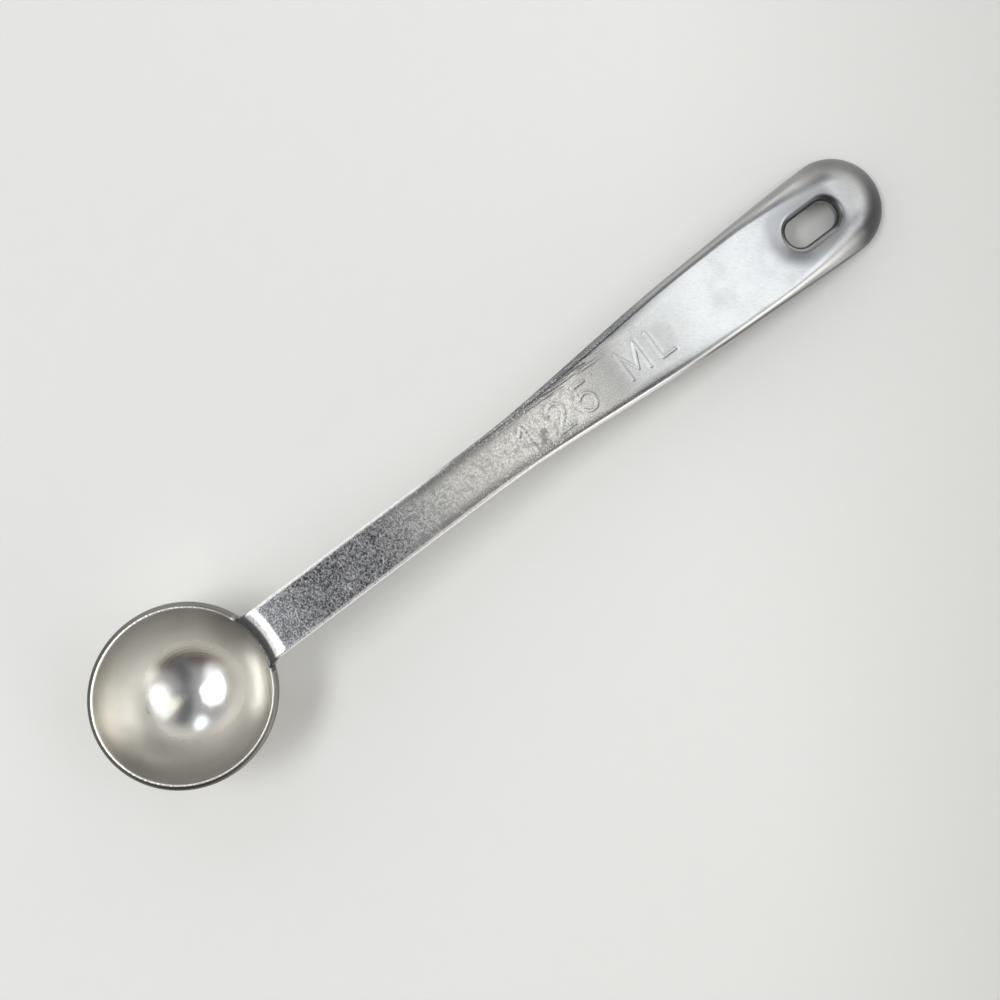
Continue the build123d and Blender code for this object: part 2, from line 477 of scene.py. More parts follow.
def handle_end(mesh):
    """Rings round the slot: its turned lip, the flat round it, the dome and the turned edge."""
    stations = np.linspace(RING_START, GRIP_CENTRE, SIDE_SPOKES)
    turns = np.radians(np.linspace(90, -90, END_SPOKES))
    spokes = [(x, (0.0, 1.0)) for x in stations[:-1]]
    spokes += [(GRIP_CENTRE, (math.cos(a), math.sin(a))) for a in turns]
    spokes += [(x, (0.0, -1.0)) for x in stations[-2::-1]]
    loops = []
    for station, toward in spokes:
        edge = edge_at(station, toward[0] * float(grip_half_width(station)))
        origin, toward = np.array((station, 0.0)), np.array(toward)
        outer = [(*(origin + toward * reach), depth) for reach, depth in edge]
        inner = slot_side(outer[0][:2], outer[-1][:2])
        loops.append(inner[:-1] + outer[::-1][:-1])
    mesh.grid(lift(loops), close_rows=True)
    edge = edge_at(RING_START)
    tops = np.linspace(edge[0][0], -edge[0][0], TOP_COLUMNS)
    unders = np.linspace(edge[-1][0], -edge[-1][0], TOP_COLUMNS)
    back = [slot_side((RING_START, a), (RING_START, b)) for a, b in zip(tops, unders)]
    mesh.grid(lift(back))


def make_handle():
    mesh = SpoonMesh("handle_shell")
    handle_body(mesh)
    handle_end(mesh)
    return mesh.build()


def bowl_profile():
    """The shell's section as (way out from the inside wall, share of the radius, height, on the rim)."""
    skin = SHEET - INSIDE
    downs = np.radians(np.linspace(90, 0, BOWL_FLOOR_STEPS + 1))
    profile = [(0.0, math.cos(a), -BOWL_WALL - BOWL_DEPTH * math.sin(a), 0) for a in downs]
    profile += [(0.0, 1.0, z, 0) for z in np.linspace(-BOWL_WALL, -RIM_INNER_ROUND, BOWL_WALL_STEPS + 1)[1:]]
    for turn in np.radians(np.linspace(0, 90, RIM_INNER_STEPS + 1)[1:]):
        drop = -RIM_INNER_ROUND * (1 - math.sin(turn))
        profile.append((RIM_INNER_ROUND * (1 - math.cos(turn)), 1.0, drop, 1))
    flat = np.linspace(RIM_INNER_ROUND, skin - RIM_OUTER_ROUND, RIM_FLAT_STEPS + 1)[1:-1]
    profile += [(out, 1.0, 0.0, 1) for out in flat]
    for turn in np.radians(np.linspace(90, 0, RIM_OUTER_STEPS + 1)):
        drop = -RIM_OUTER_ROUND * (1 - math.sin(turn))
        profile.append((skin - RIM_OUTER_ROUND * (1 - math.cos(turn)), 1.0, drop, 1))
    profile += [(skin, 1.0, z, 0) for z in np.linspace(-RIM_OUTER_ROUND, -BOWL_WALL, BOWL_WALL_STEPS + 1)[1:]]
    depth = OUTER_DEPTH - INSIDE
    return profile + [(skin, math.cos(a), -BOWL_WALL - depth * math.sin(a), 0) for a in downs[-2::-1]]


def rim_marks(angles, seed):
    """Uneven heights round the rim's cut edge, 0 to 1, from shallow waves to close file marks."""
    rng = np.random.default_rng(seed)
    marks = np.zeros_like(angles)
    for count, weight in RIM_WAVES:
        marks += weight * rng.uniform(RIM_LEAST_SHARE, 1) * np.sin(angles * count + rng.uniform(0, math.tau))
    return (marks - marks.min()) / (marks.max() - marks.min())


def make_bowl():
    """The bowl's shell, with file marks on the rim's cut edge."""
    angles = np.linspace(0, math.tau, BOWL_COLUMNS, endpoint=False)
    root_angle = math.asin(ROOT_WIDTH / 2 / BOWL_CROSS)
    from_root = np.abs(np.angle(np.exp(1j * angles)))
    free = smooth_step((from_root - root_angle) / RIM_MARK_START)
    inner_marks, outer_marks = (rim_marks(angles, seed) for seed in RIM_SEEDS)
    rows = []
    for out, share, z, on_rim in bowl_profile():
        height = np.full(BOWL_COLUMNS, float(z))
        if on_rim:
            part = out / SHEET
            marks = inner_marks * (1 - part) + outer_marks * part
            height = height - (1 - free) * z - RIM_MARK_DEPTH * marks * free
        x, y = (BOWL_LONG + out) * share * np.cos(angles), (BOWL_CROSS + out) * share * np.sin(angles)
        rows.append(np.stack([x, y, height], axis=1))
    mesh = SpoonMesh("bowl_shell")
    mesh.grid(rows, close_rows=True)
    return mesh.build()


# Materials
def node(tree, kind, inputs=None, **settings):
    """Adds a shader node. inputs maps socket names to values or to other nodes' outputs."""
    made = tree.nodes.new(kind)
    for key, value in settings.items():
        setattr(made, key, value)
    for key, value in (inputs or {}).items():
        if isinstance(value, bpy.types.NodeSocket):
            tree.links.new(value, made.inputs[key])
        else:
            made.inputs[key].default_value = value
    return made


def math_node(tree, operation, first, second=0.0):
    return node(tree, "ShaderNodeMath", {0: first, 1: second}, operation=operation).outputs[0]


def combined(tree, operation, *values):
    """Runs one two-sided maths operation through all the values in turn."""
    result = values[0]
    for value in values[1:]:
        result = math_node(tree, operation, result, value)
    return result


def product(tree, *values):
    return combined(tree, "MULTIPLY", *values)


def total(tree, *values):
    return combined(tree, "ADD", *values)


def largest(tree, *values):
    return combined(tree, "MAXIMUM", *values)


def distance(tree, first, second):
    """The length of a flat vector with these two parts."""
    return math_node(tree, "SQRT", total(tree, product(tree, first, first), product(tree, second, second)))


def mix_values(tree, factor, low, high):
    return node(tree, "ShaderNodeMapRange", {"Value": factor, "To Min": low, "To Max": high}).outputs[0]


def step_between(tree, value, low, high):
    """0 below low, 1 above high and a soft step between them. low may be the larger."""
    limits = {"Value": value, "From Min": low, "From Max": high}
    return node(tree, "ShaderNodeMapRange", limits, interpolation_type="SMOOTHSTEP").outputs[0]


def noise(tree, place, scale, detail, roughness):
    """Cloudy noise, mostly from 0.3 to 0.7."""
    inputs = {"Vector": place, "Scale": scale, "Detail": detail, "Roughness": roughness}
    return node(tree, "ShaderNodeTexNoise", inputs).outputs["Fac"]


def mixed_colours(tree, factor, first, second):
    """Mixes two colours, each fixed or another node's output."""
    made = node(tree, "ShaderNodeMix", {"Factor": factor}, data_type="RGBA")
    for key, colour in (("A", first), ("B", second)):
        if isinstance(colour, bpy.types.NodeSocket):
            tree.links.new(colour, made.inputs[key])
        else:
            made.inputs[key].default_value = (*colour, 1)
    return made.outputs["Result"]


def colour_ramp(tree, factor, stops):
    """A ramp through (place, colour) stops, the first of them at 0 and the last at 1."""
    ramp = node(tree, "ShaderNodeValToRGB", {"Fac": factor})
    elements = ramp.color_ramp.elements
    elements[0].color = (*stops[0][1], 1)
    elements[1].color = (*stops[-1][1], 1)
    for at, colour in stops[1:-1]:
        elements.new(at).color = (*colour, 1)
    return ramp.outputs[0]


def darkened(tree, tint_mix, dirt_and_shade, pair, dark):
    """Mixes between a pair of steel tints by one factor, then towards a dark tint by another, for dirt and
    painted shade.
    """
    return mixed_colours(tree, dirt_and_shade, mixed_colours(tree, tint_mix, *pair), dark)


def set_bump(tree, surface, height, strength, depth):
    """Bends the surface's light by a height map that is depth millimetres deep."""
    bump = node(tree, "ShaderNodeBump", {"Height": height, "Strength": strength, "Distance": depth * MM})
    tree.links.new(bump.outputs[0], surface.inputs["Normal"])


def new_surface(name, inputs, kind="ShaderNodeBsdfPrincipled"):
    """A new material with one surface shader, set to these inputs."""
    material = bpy.data.materials.new(name)
    material.use_nodes = True
    tree = material.node_tree
    tree.nodes.clear()
    surface = node(tree, kind, inputs)
    output = node(tree, "ShaderNodeOutputMaterial")
    tree.links.new(surface.outputs[0], output.inputs["Surface"])
    return material, tree, surface


def object_coordinates(tree):
    return node(tree, "ShaderNodeTexCoord").outputs["Object"]


def press_coordinates(tree):
    """The press frame's coordinates in millimetres, worked out from the object's own."""
    shift = tuple(-value / MM for value in to_row((0, 0, 0)))
    grown = {"Vector": object_coordinates(tree), "Location": shift, "Scale": (1 / MM,) * 3}
    moved = node(tree, "ShaderNodeMapping", grown, vector_type="POINT").outputs[0]
    turned = {"Vector": moved, "Rotation": (0, -LEAN, 0)}
    return node(tree, "ShaderNodeMapping", turned, vector_type="POINT").outputs[0]


# Scratches: the noise they are cut from as scale, detail and roughness, the softness of the cut, and how far
# across a seed moves the noise, as a share of how far along
SCRATCH_NOISE = (1.0, 2.0, 0.6)
SCRATCH_SOFTNESS = 0.05
SEED_ACROSS = 0.7


def scratches(tree, place, degrees, fineness, length, cut, seed):
    """Thin broken lines in one direction, 0 to 1. A higher cut leaves fewer of them."""
    aimed = {"Rotation": (0, 0, math.radians(degrees)), "Location": (seed, seed * SEED_ACROSS, 0)}
    turned = node(tree, "ShaderNodeMapping", {"Vector": place, **aimed}).outputs[0]
    drawn = node(tree, "ShaderNodeMapping", {"Vector": turned, "Scale": (length, fineness, 1)}).outputs[0]
    return step_between(tree, noise(tree, drawn, *SCRATCH_NOISE), cut, cut + SCRATCH_SOFTNESS)


# Zones where the handle's look changes in soft steps, each from no effect to the full one, in millimetres:
# from and until stations along it, across it (+Y is far in the photograph), inward from the silhouette and by
# height. amount is the full effect
WORN = dict(along=(58.0, 42.0))
GLINTING = dict(along=(34.0, 26.0))
# The grip's paler tint is painted light
PAINTED_LIGHT_START = (23.0, 31.0)
PAINTED_LIGHT = dict(along=PAINTED_LIGHT_START, until=(52.0, 46.0), amount=0.5)
# Painted shade in patches on the strip near the root
STRIP_SHADE = dict(along=(11.5, 15.0), until=(27.0, 21.0), amount=0.36)
STAINED = dict(along=(36.0, 40.0), until=(52.5, 48.0))
# A band of painted shade across the grip
SHADE_BAND = dict(along=(44.0, 47.5), until=(52.0, 49.0), amount=0.42)
CLOUDY = dict(along=(46.0, 56.0))
MATT = dict(along=(68.0, 75.0), amount=0.36)
# Painted light along the edges: painted shade on the rolled edges, the far flange and the near silhouette, and
# two painted highlight lines
LINES_START, LINE_EDGE = (9.9, 10.5), (0.4, 0.22)
ROLLED_EDGE_SHADE = dict(along=(19.0, 30.0), until=(64.0, 52.0), inward=(1.7, 0.45))
FLANGE_SHADE = dict(along=(42.0, 54.0), across=(0.5, 1.0), inward=(0.95, 0.6), amount=0.44)
SILHOUETTE_SHADE = dict(along=(44.0, 56.0), across=(0.0, -0.5), inward=(0.3, 0.12), amount=0.85)
NEAR_HIGHLIGHT = dict(along=LINES_START, until=(60.0, 50.0), across=(-0.5, -1.0), inward=LINE_EDGE)
FAR_HIGHLIGHT = dict(along=LINES_START, until=(34.0, 26.0), across=(0.5, 1.0), inward=LINE_EDGE)
# Where single cells are painted as bright sparkles
SPARKLE_HIGHLIGHT = dict(along=LINES_START, until=(52.0, 40.0), amount=0.3)
# Painted shade in the root's fold, and a painted highlight on its bend
FOLD_SHADE = dict(along=(10.2, 9.7), height=(2.0, 1.82), amount=0.97)
BEND_HIGHLIGHT = dict(along=(10.35, 10.05), height=(1.9, 2.02))
# Painted shade on the end: on its shoulders beside the slot, and over the dome with its reach from the round
# end's centre
SHOULDERS = (73.0, 77.5)
FAR_SHOULDER_SHADE = dict(along=SHOULDERS, across=(1.6, 3.2), amount=0.6)
NEAR_SHOULDER_SHADE = dict(along=SHOULDERS, across=(-1.0, -2.4), amount=0.5)
DOME, DOME_REACH = dict(along=(74.4, 78.2)), (1.9, 3.5)
DOME_NEAR_SIDE, DOME_SHADE = dict(across=(3.0, -3.0)), (0.66, 0.96)
# Painted shade round the slot, with reaches from its edge: over the dish, and over the lip, darkest on two
# sides
DISH_SHADE, DISH_EDGE = dict(along=(78.0, 76.4), amount=0.55), (3.2, 0.6)
LIP_FADE, LIP_EDGE = 0.35, (0.8, 0.3)
LIP = dict(height=(TOP - SLOT_ROUND - LIP_FADE, TOP - SLOT_ROUND))
LIP_FAR_SIDE, LIP_END, LIP_SHADE = dict(across=(-1.0, 1.2)), dict(along=(74.9, 75.8)), (0.62, 0.94)

# Noises on the handle as scale, detail and roughness, the steps that cut them, and how dark they make it
GRAIN, SPECKLE_CUT = (8.0, 3.0, 0.75), (0.45, 0.58)
# The rolled edges' painted shade is cut ragged by the grain
RAGGED_CUT, ROLLED_SHADE_DEPTH = (0.4, 0.62), (0.5, 0.9)
# The patches also cut the strip's painted shade
PATCHES, STRIP_SHADE_CUT = (0.5, 4.0, 0.6), (0.3, 0.55)
SMEARS, SMEAR_CUT, SMEAR_DULL = (1.3, 3.0, 0.6), (0.5, 0.66), 0.42
STAINS, STAIN_CUT, STAIN_DULL = (0.6, 4.0, 0.7), (0.48, 0.68), 0.66
CLOUDS, CLOUD_CUT, CLOUD_DULL = (0.24, 2.0, 0.5), (0.42, 0.64), 0.15
# The grain's stretch and its cells: how many to a millimetre, the steps that pick dark ones, how dark they are
# towards the root, where this is partly painted shade, and on the grip, and the steps that pick cells painted
# bright
GRAIN_STRETCH, CELL_SCALE = (1.2, 0.85, 1.0), 7.0
FLECK_CUT, FLECK_DEPTH, SPARKLE_CUT = (0.3, 0.95), (0.64, 0.38), (0.1, 0.04)
# Scratches as direction in degrees, fineness, length, cut and seed
SCUFFS = (
    (62, 9.0, 0.5, 0.7, 3.1),
    (-50, 8.0, 0.6, 0.71, 9.4),
    (84, 7.0, 0.6, 0.68, 14.2),
    (8, 10.0, 0.25, 0.72, 5.5),
)
STREAKS, STREAK_DULL = (40, 6.0, 1.6, 0.55, 21.0), 0.07
DRAGS, DRAG_SIDE = (3, 7.0, 0.35, 0.5, 33.0), dict(across=(1.0, 2.0), amount=0.85)

# How worn the steel is, and how much of the scuffs shows, where it is least worn
LEAST_WORN, LEAST_SCUFFED = 0.13, 0.25
# Roughness of smooth and of speckled steel, and what patches, scuffs and glints add to it
SPECKLE_ROUGH = (0.13, 0.36)
PATCH_ROUGH, SCUFF_ROUGH, GLINT_ROUGH = 0.1, 0.2, 0.2
# The handle's bump: heights of scuffs and patches beside the grain, then the strength and the depth
SCUFF_HEIGHT, PATCH_HEIGHT = -0.12, 0.25
HANDLE_BUMP = (1.0, 0.012)
# The handle's pair of tints, its dark one for dirt and painted shade and its painted highlight, how far
# patches mix the pair, and how far the glints are painted bright
HANDLE_TINTS = ((0.52, 0.535, 0.56), (0.80, 0.79, 0.765))
HANDLE_DARK = (0.07, 0.07, 0.08)
HANDLE_HIGHLIGHT = (0.93, 0.93, 0.92)
PATCH_TINT, GLINT_SHINE = 0.6, 0.45


class HandlePlace:
    """Where a point of the handle lies: its press coordinates and its distance in from the silhouette."""

    def __init__(self, tree):
        self.tree = tree
        self.vector = press_coordinates(tree)
        parts = node(tree, "ShaderNodeSeparateXYZ", {"Vector": self.vector}).outputs
        self.x, self.y, self.z = parts["X"], parts["Y"], parts["Z"]
        beside = math_node(tree, "ABSOLUTE", self.y)
        self.from_edge = math_node(tree, "SUBTRACT", half_width_curve(tree, self.x), beside)

    def zone(self, along=None, until=None, across=None, inward=None, height=None, amount=1.0):
        """A zone of the handle: 0 outside it and its amount inside."""
        values = (self.x, self.x, self.y, self.from_edge, self.z)
        limits = (along, until, across, inward, height)
        steps = [step_between(self.tree, value, *pair) for value, pair in zip(values, limits) if pair]
        return product(self.tree, *steps, amount)


def half_width_curve(tree, x):
    """The handle's half width in millimetres at a distance along it, as a curve node."""
    limits = {"Value": x, "From Min": GRIP_START, "From Max": GRIP_CENTRE}
    share = node(tree, "ShaderNodeMapRange", limits).outputs[0]
    made = node(tree, "ShaderNodeFloatCurve", {"Value": share})
    curve = made.mapping.curves[0]
    for at, wide in zip(STATION_SHARE[1:-1], WIDTH_SHARE[1:-1]):
        curve.points.new(at, wide)
    made.mapping.update()
    return mix_values(tree, made.outputs[0], STRIP_WIDTH / 2, GRIP_WIDTH / 2)


def slot_painted_shade(tree, at):
    """Painted shade over the dish that the press drew round the hanging slot, darkest over its edge."""
    slot_run = {0: at.x, 1: SLOT_CENTRE - SLOT_HALF_RUN, 2: SLOT_CENTRE + SLOT_HALF_RUN}
    near_x = node(tree, "ShaderNodeClamp", slot_run).outputs[0]
    aside = math_node(tree, "SUBTRACT", at.x, near_x)
    from_slot = math_node(tree, "SUBTRACT", distance(tree, aside, at.y), SLOT_HALF_WIDTH)
    dish = product(tree, step_between(tree, from_slot, *DISH_EDGE), at.zone(**DISH_SHADE))
    depth = mix_values(tree, largest(tree, at.zone(**LIP_FAR_SIDE), at.zone(**LIP_END)), *LIP_SHADE)
    lip = product(tree, step_between(tree, from_slot, *LIP_EDGE), depth, at.zone(**LIP))
    return largest(tree, dish, lip)


def end_painted_shade(tree, at):
    """Painted shade on the domed end: on the shoulders beside the slot, and over a dome darker outwards and on
    its near side.
    """
    reach = distance(tree, math_node(tree, "SUBTRACT", at.x, GRIP_CENTRE), at.y)
    depth = mix_values(tree, at.zone(**DOME_NEAR_SIDE), *DOME_SHADE)
    dome = product(tree, step_between(tree, reach, *DOME_REACH), at.zone(**DOME), depth)
    return largest(tree, at.zone(**FAR_SHOULDER_SHADE), at.zone(**NEAR_SHOULDER_SHADE), dome)


def edge_painted_shade(tree, at, grain):
    """Painted shade on the narrow grip's rolled edges, ragged by the grain, and on the far flange and the near
    silhouette.
    """
    ragged = mix_values(tree, step_between(tree, grain, *RAGGED_CUT), *ROLLED_SHADE_DEPTH)
    return largest(tree, product(tree, at.zone(**ROLLED_EDGE_SHADE), ragged), at.zone(**FLANGE_SHADE), at.zone(**SILHOUETTE_SHADE))


def face_dirt_and_shade(tree, at, flecks_and_shade, drawn, worn):
    """The face: dark grains and smears towards the bowl, painted shade on the strip and in a band, stains, and
    faint clouds and streaks.
    """
    smears = product(tree, step_between(tree, noise(tree, drawn, *SMEARS), *SMEAR_CUT), worn, SMEAR_DULL)
    stained, on_grip = at.zone(**STAINED), at.zone(**CLOUDY)
    stains = product(tree, step_between(tree, noise(tree, drawn, *STAINS), *STAIN_CUT), stained, STAIN_DULL)
    drags = product(tree, scratches(tree, at.vector, *DRAGS), stained, at.zone(**DRAG_SIDE))
    clouds = step_between(tree, noise(tree, at.vector, *CLOUDS), *CLOUD_CUT)
    streaks = scratches(tree, at.vector, *STREAKS)
    faint = total(tree, product(tree, clouds, CLOUD_DULL), product(tree, streaks, STREAK_DULL))
    # A band of painted shade, and faint clouds and streaks on the grip
    grip = total(tree, at.zone(**SHADE_BAND), product(tree, faint, on_grip))
    return largest(tree, flecks_and_shade, smears, stains, drags, grip)


def flecks_and_strip_shade(tree, at, cell, patches, worn):
    """Single dark grains of the worn steel, deeper towards the root as painted shade, and painted shade in
    patches there.
    """
    depth = mix_values(tree, at.zone(along=PAINTED_LIGHT_START), *FLECK_DEPTH)
    flecks_and_shade = product(tree, step_between(tree, cell, *FLECK_CUT), worn, depth)
    return total(tree, flecks_and_shade, product(tree, at.zone(**STRIP_SHADE), step_between(tree, patches, *STRIP_SHADE_CUT)))


def handle_relief(tree, surface, at, grain, patches, worn):
    """Sets the handle's roughness and bump, and returns the scuffs that glint near the bowl."""
    speckle = product(tree, step_between(tree, grain, *SPECKLE_CUT), worn)
    scuffs = largest(tree, *(scratches(tree, at.vector, *scuff) for scuff in SCUFFS))
    scuffs = product(tree, scuffs, mix_values(tree, worn, LEAST_SCUFFED, 1.0))
    glints = product(tree, scuffs, at.zone(**GLINTING))

    rough = total(tree, mix_values(tree, speckle, *SPECKLE_ROUGH), product(tree, patches, PATCH_ROUGH))
    rough = total(tree, rough, product(tree, scuffs, SCUFF_ROUGH), product(tree, glints, GLINT_ROUGH))
    tree.links.new(largest(tree, rough, at.zone(**MATT)), surface.inputs["Roughness"])

    height = total(tree, product(tree, grain, worn), product(tree, scuffs, SCUFF_HEIGHT))
    set_bump(tree, surface, total(tree, height, product(tree, patches, PATCH_HEIGHT)), *HANDLE_BUMP)
    return glints


def handle_steel():
    """Worn cold-rolled steel: a fine grain of tiny dents, scuffs, painted highlights, and painted shade at
    root, edges, slot and end.
    """
    material, tree, surface = new_surface("handle_steel", {"Metallic": 1.0})
    at = HandlePlace(tree)
    drawn = node(tree, "ShaderNodeMapping", {"Vector": at.vector, "Scale": GRAIN_STRETCH}).outputs[0]
    grain, patches = noise(tree, drawn, *GRAIN), noise(tree, at.vector, *PATCHES)
    cells = node(tree, "ShaderNodeTexVoronoi", {"Vector": drawn, "Scale": CELL_SCALE}).outputs["Color"]
    cell = node(tree, "ShaderNodeSeparateColor", {"Color": cells}).outputs[0]
    worn = mix_values(tree, at.zone(**WORN), LEAST_WORN, 1.0)
    glints = handle_relief(tree, surface, at, grain, patches, worn)

    flecks_and_shade = flecks_and_strip_shade(tree, at, cell, patches, worn)
    # Painted highlights: bright sparkles on single cells, lines along both edges, the root's bend and glinting
    # scuffs
    painted_sparkle = product(tree, step_between(tree, cell, *SPARKLE_CUT), at.zone(**SPARKLE_HIGHLIGHT))
    painted_highlights = (at.zone(**NEAR_HIGHLIGHT), at.zone(**FAR_HIGHLIGHT), at.zone(**BEND_HIGHLIGHT))
    painted_shine = largest(tree, *painted_highlights, product(tree, glints, GLINT_SHINE), painted_sparkle)
    # Dirt and wear, and painted shade in the root's fold, over the end, round the slot, along the edges and on
    # the face
    dirt_and_shade = largest(
        tree,
        at.zone(**FOLD_SHADE),
        end_painted_shade(tree, at),
        slot_painted_shade(tree, at),
        edge_painted_shade(tree, at, grain),
        face_dirt_and_shade(tree, at, flecks_and_shade, drawn, worn),
    )
    # Painted highlights clear the darkening, then carry the colour towards the painted highlight tint
    dirt_and_shade = product(tree, dirt_and_shade, math_node(tree, "SUBTRACT", 1.0, painted_shine))
    # Patches and the grip's painted light mix the pair of tints
    tint_mix = total(tree, product(tree, patches, PATCH_TINT), at.zone(**PAINTED_LIGHT))
    steel = darkened(tree, tint_mix, dirt_and_shade, HANDLE_TINTS, HANDLE_DARK)
    tree.links.new(mixed_colours(tree, painted_shine, steel, HANDLE_HIGHLIGHT), surface.inputs["Base Color"])
    return material


# The middle of the bowl's floor that the brush polished, by distance from its centre
POLISHED_DISC = (5.7, 4.8)
# A darker spot on the wall next to the root: its place, its reach and how dark it is
DARK_SPOT = (7.0, 2.6)
DARK_SPOT_REACH = (4.2, 0.8)
DARK_SPOT_DEPTH = 0.5
# Painted shade on the rim's rounded outer edge: where it is, as a share of the inside radius and by height,
# and how dark it is from the handle's side to the far side
RIM_SHARE, RIM_HEIGHT = (1.012, 1.03), (-0.8, -0.4)
RIM_ALONG, RIM_SHADE = (2.0, -4.0), (0.8, 0.95)
# Noises on the bowl as scale, detail and roughness, and how many rings the brush left to a millimetre
WOBBLE, BOWL_GRAIN, RINGS = (0.9, 2.0, 0.5), (6.0, 3.0, 0.7), (1.0, 4.0, 0.75)
RING_FINENESS = 7.0
# Roughness of the satin wall and of the polished disc, and what the grain and the rings add to it
DISC_ROUGH, GRAIN_ROUGH, RING_ROUGH = (0.27, 0.1), 0.08, 0.05
# The bowl's bump: the rings' height outside the disc, the grain's height, then the strength and the depth
OUTER_RINGS, GRAIN_HEIGHT = 0.1, 0.25
BOWL_BUMP = (0.7, 0.009)
BOWL_TINTS = ((0.76, 0.745, 0.705), (0.83, 0.815, 0.775))
BOWL_DARK = (0.085, 0.078, 0.075)


def rim_shade_and_dark_spot(tree, x, y, z):
    """Painted shade on the rim's outer edge, and a darker spot on the wall next to the root."""
    share = distance(tree, math_node(tree, "DIVIDE", x, BOWL_LONG), math_node(tree, "DIVIDE", y, BOWL_CROSS))
    rim = product(tree, step_between(tree, share, *RIM_SHARE), step_between(tree, z, *RIM_HEIGHT))
    rim = product(tree, rim, mix_values(tree, step_between(tree, x, *RIM_ALONG), *RIM_SHADE))
    aside = [math_node(tree, "SUBTRACT", value, spot) for value, spot in zip((x, y), DARK_SPOT)]
    from_spot = distance(tree, *aside)
    return largest(tree, rim, product(tree, step_between(tree, from_spot, *DARK_SPOT_REACH), DARK_SPOT_DEPTH))


def brush_rings(tree, reach, wobble):
    """Uneven rings round the middle of the bowl's floor."""
    scale, detail, roughness = RINGS
    place = total(tree, product(tree, reach, RING_FINENESS), wobble)
    inputs = {"W": place, "Scale": scale, "Detail": detail, "Roughness": roughness}
    return node(tree, "ShaderNodeTexNoise", inputs, noise_dimensions="1D").outputs["Fac"]


def bowl_steel():
    """Drawn steel: satin walls, rings turned by the brush over the floor's middle, and a sheared rim with
    painted shade.
    """
    material, tree, surface = new_surface("bowl_steel", {"Metallic": 1.0})
    place = press_coordinates(tree)
    parts = node(tree, "ShaderNodeSeparateXYZ", {"Vector": place}).outputs
    x, y, z = parts["X"], parts["Y"], parts["Z"]
    reach = distance(tree, x, y)
    wobble, grain = noise(tree, place, *WOBBLE), noise(tree, place, *BOWL_GRAIN)
    rings = brush_rings(tree, reach, wobble)
    centre = step_between(tree, total(tree, reach, wobble), *POLISHED_DISC)

    rough = total(tree, mix_values(tree, centre, *DISC_ROUGH), product(tree, grain, GRAIN_ROUGH))
    tree.links.new(total(tree, rough, product(tree, rings, RING_ROUGH)), surface.inputs["Roughness"])
    height = product(tree, rings, total(tree, centre, OUTER_RINGS))
    set_bump(tree, surface, total(tree, height, product(tree, grain, GRAIN_HEIGHT)), *BOWL_BUMP)

    # The rim's painted shade and the darker spot pull the tints towards the dark one
    steel = darkened(tree, wobble, rim_shade_and_dark_spot(tree, x, y, z), BOWL_TINTS, BOWL_DARK)
    tree.links.new(steel, surface.inputs["Base Color"])
    return material


# The floor's paint: its surface, its broad and fine clouds as scale, detail and roughness, the share of the
# fine ones, how strongly they show and the two tints they run between
FLOOR_SURFACE = {"Metallic": 0.0, "Roughness": 0.6, "Specular IOR Level": 0.2}
FLOOR_BROAD, FLOOR_FINE = (9.0, 2.0, 0.5), (420.0, 3.0, 0.5)
FLOOR_FINE_SHARE, FLOOR_CLOUDS = 0.35, 0.7
FLOOR_TINTS = ((0.795, 0.802, 0.79), (0.855, 0.86, 0.848))

# The dark card's paint
CARD_SURFACE = {"Metallic": 0.0, "Roughness": 0.9}
CARD_CLOUDS = (30.0, 2.0, 0.5)
CARD_TINTS = ((0.13, 0.135, 0.16), (0.21, 0.215, 0.24))


def floor_material():
    """Pale matt paint with faint clouds."""
    material, tree, surface = new_surface("floor_paint", FLOOR_SURFACE)
    place = object_coordinates(tree)
    fine = product(tree, noise(tree, place, *FLOOR_FINE), FLOOR_FINE_SHARE)
    blend = product(tree, total(tree, noise(tree, place, *FLOOR_BROAD), fine), FLOOR_CLOUDS)
    tree.links.new(mixed_colours(tree, blend, *FLOOR_TINTS), surface.inputs["Base Color"])
    return material


def dark_paint():
    """Matt charcoal with faint clouds."""
    material, tree, surface = new_surface("dark_paint", CARD_SURFACE)
    cloud = noise(tree, object_coordinates(tree), *CARD_CLOUDS)
    tree.links.new(mixed_colours(tree, cloud, *CARD_TINTS), surface.inputs["Base Color"])
    return material


# Stage. A dark card and a lit screen hang over the camera, where only reflections show them: their outlines
# over the table and their heights over the lens, in millimetres
CARD_OUTLINE = (
    *((-75, -112), (-68, -75), (-60, -35), (-30, -8), (-27, 10), (-14, 34)),
    *((16, 72), (45, 90), (75, 80), (70, 52), (48, 34), (26, 14)),
    *((7, 8), (7, -6), (-10, -18), (-20, -30), (-22, -70), (-30, -112)),
)
CARD_ABOVE_LENS = 4
SCREEN_START = 2
SCREEN_END = 116
SCREEN_OUTLINE = (
    *((SCREEN_START, -16), (45, -24), (SCREEN_END, -60)),
    *((SCREEN_END, 36), (45, 20), (SCREEN_START, 16)),
)
SCREEN_ABOVE_LENS = 6
# The screen's light along its length, as shares of it and colours
SCREEN_STOPS = (
    (0, (0.07, 0.07, 0.08)),
    (0.24, (0.72, 0.70, 0.64)),
    (0.38, (0.74, 0.72, 0.66)),
    (0.53, (0.34, 0.34, 0.33)),
    (0.7, (0.80, 0.82, 0.81)),
    (1, (0.54, 0.56, 0.58)),
)
SCREEN_STRENGTH = 2.2
# Half the floor's length and width in metres
FLOOR_HALF = 1.5


def make_floor():
    """The level floor."""
    mesh = bpy.data.meshes.new("floor")
    corners = [(x * FLOOR_HALF, y * FLOOR_HALF, 0) for x, y in ((-1, -1), (1, -1), (1, 1), (-1, 1))]
    mesh.from_pydata(corners, [], [(0, 1, 2, 3)])
    plane = bpy.data.objects.new("floor", mesh)
    plane.location.z = cad_low.z
    plane.data.materials.append(floor_material())
    bpy.context.scene.collection.objects.link(plane)


